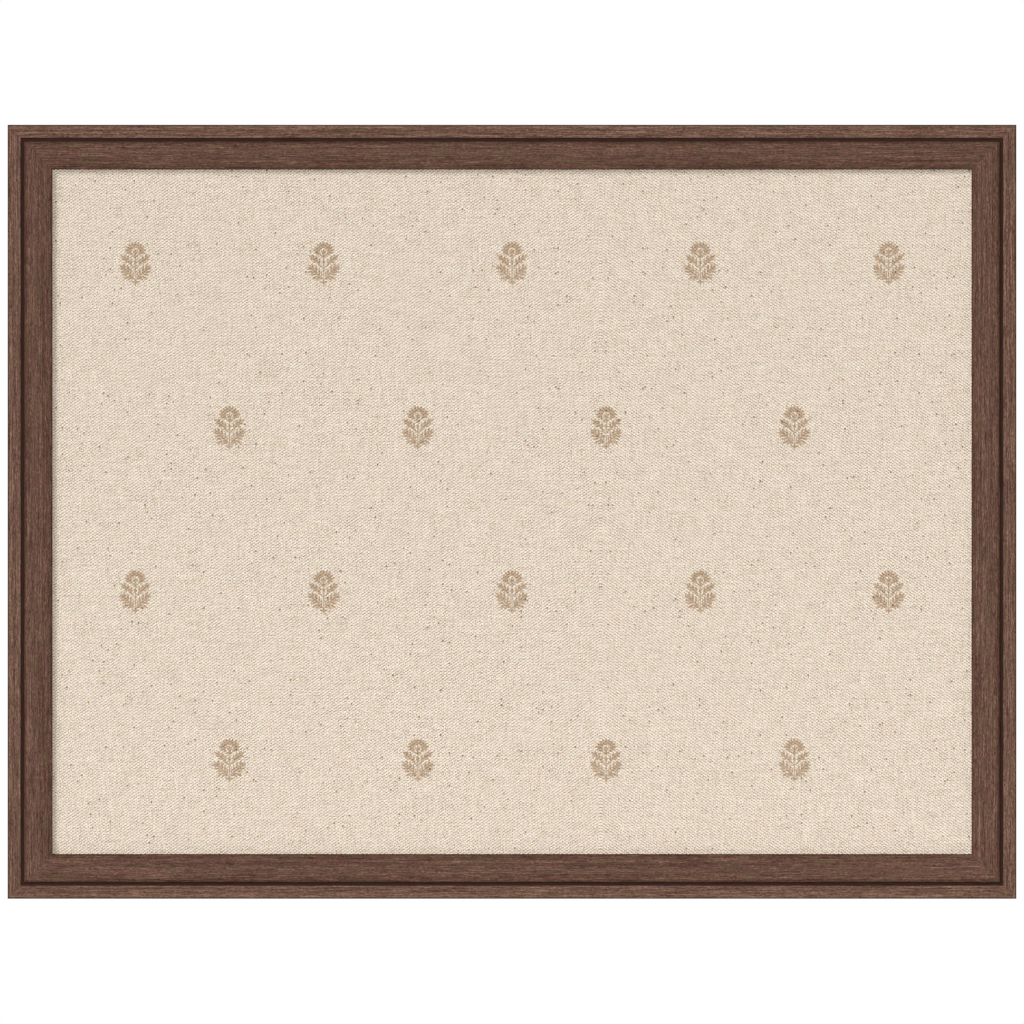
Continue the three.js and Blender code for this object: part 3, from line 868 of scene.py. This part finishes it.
def mitred_length(half_run, edge):
    """A length of moulding along X, mitred at both ends, with its outer edge at the given height."""
    section = moulding_section()
    outline = [(-half_run, BACK_FACE - forward, edge - inward) for inward, forward in section]
    roundings = ((0, BACK_ARRIS), (1, LIP_ARRIS), (2, LIP_INNER_ARRIS), (len(outline) - 1, BACK_ARRIS))
    shape = outward(thicken(plate(outline, roundings), (2 * half_run, 0, 0)))
    for end in (-1, 1):
        corner = (end * (half_run - MITRE_SETBACK), 0, edge)
        mitre = sliced(shape, corner, (end, 0, -1), clear_outer=True)
        bmesh.ops.contextual_create(shape, geom=mitre)
    return outward(shape)


def nail_slot(half_run, edge, end, share):
    """The slot of a V-nail, whose legs point to the frame's outer edges."""
    inset = share * BACK_WIDTH
    low, high, tip = -NAIL_SLOT_HALF, NAIL_SLOT_HALF, NAIL_SLOT_LEG
    plan = [(low, low), (tip, low), (tip, high), (high, high), (high, tip), (low, tip)]
    corner_x = end * (half_run - inset)
    outline = [(corner_x + end * right, BACK_FACE + OVERRUN, edge - inset + up) for right, up in plan]
    return outward(thicken(plate(outline), (0, -NAIL_SLOT_DEPTH - OVERRUN, 0)))


def point_slot(along, edge):
    """The slot in the rebate's wall that a framer's point is driven into."""
    width, thickness, driven = POINT_SLOT
    reach = driven + OVERRUN
    middle = (along, BACK_FACE - POINT_SLOT_TOP - thickness / 2, edge - BACK_WIDTH + driven - reach / 2)
    return cuboid(middle, (width, thickness, reach))


def add_moulding(name, half_run, edge, turn, point_count, material, pilots=()):
    """One of the frame's lengths, made along X at the top and turned by quarters to its side."""
    slots = [nail_slot(half_run, edge, end, share) for end in (-1, 1) for share in NAIL_SHARES]
    first_point = POINT_END_INSET + BACK_WIDTH - half_run
    slots += [point_slot(place, edge) for place in evenly(first_point, point_count)]
    quarter_turns = Matrix.Rotation(turn * QUARTER, 4, "Y")
    tools = [placed(slot, quarter_turns) for slot in slots]
    for x, z in pilots:
        hole = cylinder(PILOT_RADIUS, -PILOT_DEPTH, OVERRUN)
        tools.append(placed(hole, Matrix.Translation((x, BACK_FACE, z))))
    length = placed(mitred_length(half_run, edge), quarter_turns)
    shape = carved(length, joined(tools))
    return finished(name + "_moulding", shape, material, "board", [name])


# The cloth

def wraps_sideways(centre):
    """Whether a place on the panel's edges or back belongs to the left or right flap of the cloth."""
    return cloth_high.x - abs(centre.x) < cloth_high.z - abs(centre.z)


def unfolded(place, limit, y, behind):
    """How far from the middle a point lies once its flap is folded out flat."""
    reach = abs(place) if not behind else 2 * limit - abs(place)
    return math.copysign(reach + y - cloth_low.y, place)


def cloth_cover(material):
    """The cloth over the panel's front, round its edges and turned over its back in a hem."""
    front = cloth_low.y + CLOTH_LOFT
    depth = cloth_high.y - front
    shape = cuboid((0, front + depth / 2, 0), (2 * cloth_high.x, depth, 2 * cloth_high.z))
    rounded(shape, PANEL_EDGE)
    shape.normal_update()
    face = min(shape.faces, key=lambda f: f.calc_center_median().y)
    sight_lap = cloth_high.x - (HALF_WIDTH - MOULDING_WIDTH) + CLOTH_SIGHT_GAP
    bmesh.ops.inset_region(shape, faces=[face], thickness=sight_lap - PANEL_EDGE, use_even_offset=True)
    for width, rise in CLOTH_SOFT_EDGE_SHARES:
        bmesh.ops.inset_region(
            shape, faces=[face], thickness=width * CLOTH_SOFT_EDGE, depth=rise * CLOTH_LOFT,
            use_even_offset=True,
        )
    back = max(shape.faces, key=lambda f: f.calc_center_median().y)
    bmesh.ops.inset_region(shape, faces=[back], thickness=HEM_WIDTH - PANEL_EDGE, use_even_offset=True)
    bmesh.ops.delete(shape, geom=[back], context="FACES_ONLY")
    for normal, limit in ((Vector((1, 0, 0)), cloth_high.x), (Vector((0, 0, 1)), cloth_high.z)):
        count = int(limit / CLOTH_GRID)
        for number in range(-count, count + 1):
            sliced(shape, normal * number * CLOTH_GRID, normal)
    middle_y = (front + cloth_high.y) / 2
    for vert in shape.verts:
        if vert.is_boundary:
            vert.co.x += dice.uniform(-HEM_WAVER, HEM_WAVER)
            vert.co.z += dice.uniform(-HEM_WAVER, HEM_WAVER)
    flat = shape.loops.layers.uv.new("flat_cloth")
    for face in shape.faces:
        centre = face.calc_center_median()
        behind = centre.y > middle_y
        sideways = wraps_sideways(centre)
        for loop in face.loops:
            x, y, z = loop.vert.co
            if centre.y < front:
                loop[flat].uv = (x, z)
            elif sideways:
                loop[flat].uv = (unfolded(x, cloth_high.x, y, behind), z)
            else:
                loop[flat].uv = (x, unfolded(z, cloth_high.z, y, behind))
    cover = finished(
        "twill_cover", shape, material, "board", ["fabric_cover"], crease=60,
    )
    wall = cover.modifiers.new("cloth_thickness", "SOLIDIFY")
    wall.thickness = CLOTH_THICKNESS
    wall.offset = -1
    return cover


def corner_folds(material):
    """The spare cloth at each corner, folded into a wedge along the mitre of the hems."""
    wedges = []
    for side in (-1, 1):
        for up in (-1, 1):
            outline = [
                (side * (cloth_high.x - inward), cloth_high.y, up * (cloth_high.z - down))
                for inward, down in FOLD_OUTLINE
            ]
            wedge = outward(thicken(plate(outline), (0, CLOTH_THICKNESS, 0)))
            wedges.append(rounded(wedge, FOLD_EDGE))
    shape = joined(wedges)
    # The folded cloth's weave runs askew
    flat = shape.loops.layers.uv.new("flat_cloth")
    for face in shape.faces:
        for loop in face.loops:
            loop[flat].uv = (loop.vert.co.x * 0.8 + loop.vert.co.z * 0.6, loop.vert.co.z)
    return finished("hem_corner_folds", shape, material, "board")


def staple():
    """A staple with its crown along X, its wire's back at y = 0 and its legs forward."""
    wire, width = STAPLE_WIRE
    inner = STAPLE_HALF - wire
    plan = [
        (-STAPLE_HALF, -STAPLE_LEG), (-STAPLE_HALF, 0), (STAPLE_HALF, 0), (STAPLE_HALF, -STAPLE_LEG),
        (inner, -STAPLE_LEG), (inner, -wire), (-inner, -wire), (-inner, -STAPLE_LEG),
    ]
    outline = [(x, y, -width / 2) for x, y in plan]
    roundings = ((1, STAPLE_BEND), (2, STAPLE_BEND))
    return outward(thicken(plate(outline, roundings, steps=3), (0, 0, width)))


def add_staples(material):
    """A row of staples along each hem, driven by hand and so a little crooked."""
    sides = (
        (cloth_high.x, cloth_high.z, STAPLES_LONG_SIDE),
        (cloth_high.z, cloth_high.x, STAPLES_SHORT_SIDE),
    )
    stray_along, stray_across, stray_turn = STAPLE_STRAY
    staples = []
    for turn, (half_run, edge, count) in enumerate(sides * 2):
        for place in evenly(STAPLE_END_INSET - half_run, count):
            along = place + dice.uniform(-stray_along, stray_along)
            across = edge - STAPLE_INSET + dice.uniform(-stray_across, stray_across)
            lean = Matrix.Rotation(dice.uniform(-stray_turn, stray_turn), 4, "Y")
            spot = Matrix.Translation((along, cloth_high.y + STAPLE_PROUD, across))
            staples.append(placed(staple(), Matrix.Rotation(turn * QUARTER, 4, "Y") @ spot @ lean))
    return finished("hem_staples", joined(staples), material, "board")


# The hangers

def strap_plan():
    """The strap's outline seen from behind: straight sides and a round end, as a tall solid."""
    round_end = STRAP_WIDTH / 2 - STRAP_END
    shape = bmesh.new()
    bmesh.ops.create_circle(shape, cap_ends=True, segments=48, radius=STRAP_WIDTH / 2)
    placed(shape, Matrix.Translation((0, -OVERRUN, round_end)) @ Matrix.Rotation(QUARTER, 4, "X"))
    chord = sliced(shape, (0, 0, round_end), (0, 0, 1), clear_outer=True)
    draw_on(shape, chord, (0, 0, STRAP_CUT_REACH - round_end))
    return outward(thicken(shape, (0, 2 * STRAP_CUT_REACH, 0)))


def folded_strap():
    """A strip folded round the ring's bar. The wood is at y = 0 and the bar's height is z = 0."""
    half = STRAP_WIDTH / 2 + OVERRUN
    shape = bmesh.new()
    start = [shape.verts.new((x, STRAP_SEAT, -STRAP_END - OVERRUN)) for x in (-half, half)]
    strip = [shape.edges.new(start)]
    strip = draw_on(shape, strip, (0, 0, STRAP_END + OVERRUN))
    strip = bend_on(shape, strip, (0, STRAP_SEAT + EYE_RADIUS, 0), (-1, 0, 0), 3 * QUARTER, 27)
    fold = (0, STRAP_TOP + FOLD_RADIUS, -EYE_RADIUS - FOLD_RADIUS)
    strip = bend_on(shape, strip, fold, (1, 0, 0), QUARTER, 6)
    draw_on(shape, strip, (0, 0, EYE_RADIUS + FOLD_RADIUS - STRAP_END - OVERRUN))
    bmesh.ops.remove_doubles(shape, verts=shape.verts, dist=0.001 * MM)
    shape.normal_update()
    bmesh.ops.solidify(shape, geom=shape.faces[:], thickness=-STRAP_SHEET)
    shape = carved(outward(shape), strap_plan(), "INTERSECT")
    holes = [
        placed(cylinder(STRAP_HOLE, -OVERRUN, STRAP_CUT_REACH), Matrix.Translation((0, 0, -drop)))
        for drop in SCREW_DROPS
    ]
    return carved(shape, joined(holes))


def bent_ring():
    """One wire bent to a D, whose ends butt at the middle of its bar. The bar lies on X."""
    shape = bmesh.new()
    bmesh.ops.create_circle(shape, cap_ends=True, segments=20, radius=WIRE_RADIUS)
    placed(shape, Matrix.Translation((RING_BUTT, 0, 0)) @ Matrix.Rotation(QUARTER, 4, "Y"))
    end = shape.edges[:]
    corner = RING_HALF_WIDTH - RING_BEND
    end = draw_on(shape, end, (corner - RING_BUTT, 0, 0))
    end = bend_on(shape, end, (corner, 0, -RING_BEND), (0, 1, 0), QUARTER, 8)
    end = draw_on(shape, end, (0, 0, RING_BEND - RING_LEG))
    end = bend_on(shape, end, (0, 0, -RING_LEG), (0, 1, 0), 2 * QUARTER, 32)
    end = draw_on(shape, end, (0, 0, RING_LEG - RING_BEND))
    end = bend_on(shape, end, (-corner, 0, -RING_BEND), (0, 1, 0), QUARTER, 8)
    end = draw_on(shape, end, (corner - RING_BUTT, 0, 0))
    bmesh.ops.contextual_create(shape, geom=end)
    return outward(shape)


def pan_head_screw(cross_turn):
    """A screw about Y with the underside of its head at y = 0 and its thread below."""
    dome = bezier(
        (SCREW_HEAD, SCREW_RIM), (SCREW_HEAD, SCREW_HEAD_HEIGHT), (SCREW_HEAD / 2, SCREW_HEAD_HEIGHT),
        (0, SCREW_HEAD_HEIGHT),
    )
    head = spun([
        (0, -SCREW_LENGTH), (SCREW_SHANK, SCREW_TIP - SCREW_LENGTH), (SCREW_SHANK, 0),
        (SCREW_HEAD - SCREW_EASE, 0), (SCREW_HEAD, SCREW_EASE), (SCREW_HEAD, SCREW_RIM), *dome,
    ])
    for turn in (cross_turn, cross_turn + QUARTER):
        arm = cuboid((0, SCREW_HEAD_HEIGHT, 0), RECESS_ARM)
        floor = [vert for vert in arm.verts if vert.co.y < SCREW_HEAD_HEIGHT]
        bmesh.ops.scale(arm, verts=floor, vec=RECESS_TAPER)
        head = carved(head, placed(arm, Matrix.Rotation(turn, 4, "Y")))
    thread = bmesh.new()
    turns = (SCREW_LENGTH - SCREW_TIP - THREAD_PITCH) / THREAD_PITCH
    steps = int(turns * THREAD_STEPS)
    root, low = SCREW_SHANK - THREAD_SUNK, SCREW_TIP - SCREW_LENGTH
    ridge = [(root, low + THREAD_RISE), (SCREW_SHANK + THREAD_RISE, low), (root, low - THREAD_RISE)]
    thread.faces.new([thread.verts.new((radius, height, 0)) for radius, height in ridge])
    swept = bmesh.ops.spin(
        thread, geom=thread.edges[:], cent=(0, 0, 0), axis=(0, 1, 0), angle=turns * 2 * math.pi,
        dvec=(0, turns * THREAD_PITCH / steps, 0), steps=steps,
    )
    bmesh.ops.contextual_create(thread, geom=only(bmesh.types.BMEdge, swept["geom_last"]))
    return joined([head, outward(thread)])


def add_hanger(side, x, material, turns):
    """A strap, its ring and its two screws, whose crosses are turned by the given angles."""
    spot = Matrix.Translation((x, BACK_FACE, HALF_HEIGHT - HANGER_DROP))
    strap = finished(
        f"folded_strap_{side}", placed(folded_strap(), spot), material, "board",
        [f"hanger_strap_{side}"],
    )
    soften(strap, STRAP_ARRIS)
    hinge = Matrix.Translation((0, STRAP_SEAT + EYE_RADIUS, 0)) @ Matrix.Rotation(RING_TILT, 4, "X")
    ring = placed(bent_ring(), spot @ hinge)
    finished(
        f"bent_ring_{side}", ring, material, f"ring_{side}",
        [f"d_ring_{side}"], crease=50,
    )
    for place, drop, turn in zip(("upper", "lower"), SCREW_DROPS, turns):
        seat = spot @ Matrix.Translation((0, STRAP_TOP + SCREW_SEAT, -drop))
        screw = finished(
            f"cross_screw_{side}_{place}", placed(pan_head_screw(turn), seat), material, "board",
            [f"hanger_screw_{side}_{place}"],
        )
        soften(screw, SCREW_ARRIS, angle=50)


def add_bumper(side, x, material):
    """A bumper on the bottom rail's back. Its end touches the wall."""
    height = -BACK_FACE - BUMPER_SEAT
    side_top = (BUMPER_TOP, height - BUMPER_EDGE)
    shape = spun([
        (0, 0), (BUMPER_RADIUS - BUMPER_FOOT, 0), (BUMPER_RADIUS, BUMPER_FOOT), side_top,
        *conic(side_top, (BUMPER_TOP, height), (BUMPER_TOP - BUMPER_EDGE, height)),
        (DIMPLE_RADIUS, height), (DIMPLE_FLOOR, height - DIMPLE_EDGE_DEPTH), (0, height - DIMPLE_DEPTH),
    ], segments=40)
    spot = Matrix.Translation((x, BACK_FACE + BUMPER_SEAT, BACK_WIDTH / 2 - HALF_HEIGHT))
    placed(shape, spot)
    finished(f"wall_bumper_{side}", shape, material, "board", [f"bumper_{side}"])


# Camera, lamps and floor

def make_camera():
    """A long lens that faces the board squarely, as in the photograph."""
    camera = in_scene("camera", bpy.data.cameras.new("camera"))
    camera.data.lens = PICTURE_LENS
    camera.data.sensor_width = SENSOR_WIDTH
    camera.data.clip_end = 100
    distance = PICTURE_SPAN * PICTURE_LENS / SENSOR_WIDTH
    camera.location = (0, CROWN + LIP_STEP - distance, -PICTURE_DROP)
    camera.rotation_euler = (QUARTER, 0, 0)
    bpy.context.scene.camera = camera


def make_sun(name, heading, brightness, softness):
    """A lamp that alone shows a surface square to it at the given share of its colour."""
    lamp = bpy.data.lights.new(name, "SUN")
    lamp.energy = brightness * math.pi
    lamp.angle = math.radians(softness)
    sun = in_scene(name, lamp)
    sun.rotation_mode = "QUATERNION"
    sun.rotation_quaternion = Vector(heading).to_track_quat("-Z", "Y")


def greater_of(tree, first, second):
    """A socket with the greater of two others' values."""
    either = tree.nodes.new("ShaderNodeMath")
    either.operation = "MAXIMUM"
    tree.links.new(first, either.inputs[0])
    tree.links.new(second, either.inputs[1])
    return either.outputs[0]


def seen_directly(tree):
    """A socket that is 1 on what the camera sees, also in gloss or through glass, and 0 elsewhere."""
    rays = tree.nodes.new("ShaderNodeLightPath").outputs
    mirrored = greater_of(tree, rays["Is Camera Ray"], rays["Is Glossy Ray"])
    return greater_of(tree, mirrored, rays["Is Transmission Ray"])


def make_world(before, behind):
    """White where it is seen. It lights the board softly, less from in front than from behind."""
    world = bpy.data.worlds.new("studio")
    bpy.context.scene.world = world
    world.use_nodes = True
    tree = world.node_tree
    heading = tree.nodes.new("ShaderNodeSeparateXYZ")
    tree.links.new(tree.nodes.new("ShaderNodeTexCoord").outputs["Generated"], heading.inputs[0])
    ambient = tree.nodes.new("ShaderNodeMapRange")
    ambient.interpolation_type = "SMOOTHSTEP"
    limits = {"From Min": -0.3, "From Max": 0.3, "To Min": before, "To Max": behind}
    for socket, value in limits.items():
        ambient.inputs[socket].default_value = value
    tree.links.new(heading.outputs["Y"], ambient.inputs["Value"])
    strength = greater_of(tree, ambient.outputs[0], seen_directly(tree))
    background = tree.nodes["Background"]
    tree.links.new(strength, background.inputs["Strength"])
    background.inputs["Color"].default_value = (1, 1, 1, 1)


def make_floor():
    """A pale floor below the board, which fades into the white surroundings."""
    shape = bmesh.new()
    bmesh.ops.create_circle(shape, cap_ends=True, segments=96, radius=FLOOR_RADIUS)
    floor = in_scene("floor", as_mesh("floor", shape))
    floor.location = (0, 0, FLOOR_HEIGHT)
    finish = Finish("pale_floor", Base_Color=(0.5, 0.5, 0.5, 1), Roughness=0.9, Specular_IOR_Level=0.1)
    tree = finish.tree
    seen = Wire(finish, seen_directly(tree))
    x, y, _ = finish.split(finish.place())
    far = ((x * x + y * y) ** 0.5).fade(*FLOOR_FADE)
    glow = finish.node("ShaderNodeEmission", sockets={"Strength": seen})
    lift = finish.node("ShaderNodeEmission", sockets={"Strength": seen * FLOOR_LIFT})
    near = finish.node("ShaderNodeAddShader", sockets={1: lift})
    blend = finish.node("ShaderNodeMixShader", sockets={0: far, 1: near, 2: glow})
    tree.links.new(finish.shader.outputs[0], near.socket.node.inputs[0])
    tree.links.new(blend.socket, tree.nodes["Material Output"].inputs["Surface"])
    floor.data.materials.append(finish.material)


make_camera()
make_world(before=0.05, behind=0.45)
make_sun("key", heading=(0.66, 1, -0.56), brightness=0.58, softness=30)
make_sun("fill", heading=(0, 1, 0), brightness=0.5, softness=5)
make_sun("back_key", heading=(-0.9, -1, -0.9), brightness=0.55, softness=30)
make_sun("back_fill", heading=(0, -1, 0), brightness=0.15, softness=30)
make_floor()

rail_wood = walnut("walnut_rail", along_x=True, shift=(0, 0, 0))
stile_wood = walnut("walnut_stile", along_x=False, shift=(3, 5, 7))
cloth = twill_cloth()
zinc = zinc_steel()
steel = bright_steel()
soft_rubber = rubber()

hanger_x = HALF_WIDTH - BACK_WIDTH / 2
screw_heights = [HALF_HEIGHT - HANGER_DROP - drop for drop in SCREW_DROPS]
right_screws = [(hanger_x, height) for height in screw_heights]
left_screws = [(-hanger_x, height) for height in screw_heights]
add_moulding("rail_top", HALF_WIDTH, HALF_HEIGHT, 0, RAIL_POINTS, rail_wood)
add_moulding("stile_right", HALF_HEIGHT, HALF_WIDTH, 1, STILE_POINTS, stile_wood, right_screws)
add_moulding("rail_bottom", HALF_WIDTH, HALF_HEIGHT, 2, RAIL_POINTS, rail_wood)
add_moulding("stile_left", HALF_HEIGHT, HALF_WIDTH, 3, STILE_POINTS, stile_wood, left_screws)

folds = corner_folds(cloth)
cover = cloth_cover(cloth)
add_staples(steel)

add_hanger("left", -hanger_x, zinc, turns=(0.3, 1.1))
add_hanger("right", hanger_x, zinc, turns=(0.8, 0.1))
add_bumper("left", BUMPER_INSET - HALF_WIDTH, soft_rubber)
add_bumper("right", HALF_WIDTH - BUMPER_INSET, soft_rubber)

carried = {
    "v_nail": steel,
    "framers_point": steel,
    "cork_sheet": cork(),
    "backing_board": hardboard(),
}
for name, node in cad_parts.items():
    for start, material in carried.items():
        if name.startswith(start):
            node.data.materials[0] = material

bpy.context.scene.view_settings.view_transform = "Standard"
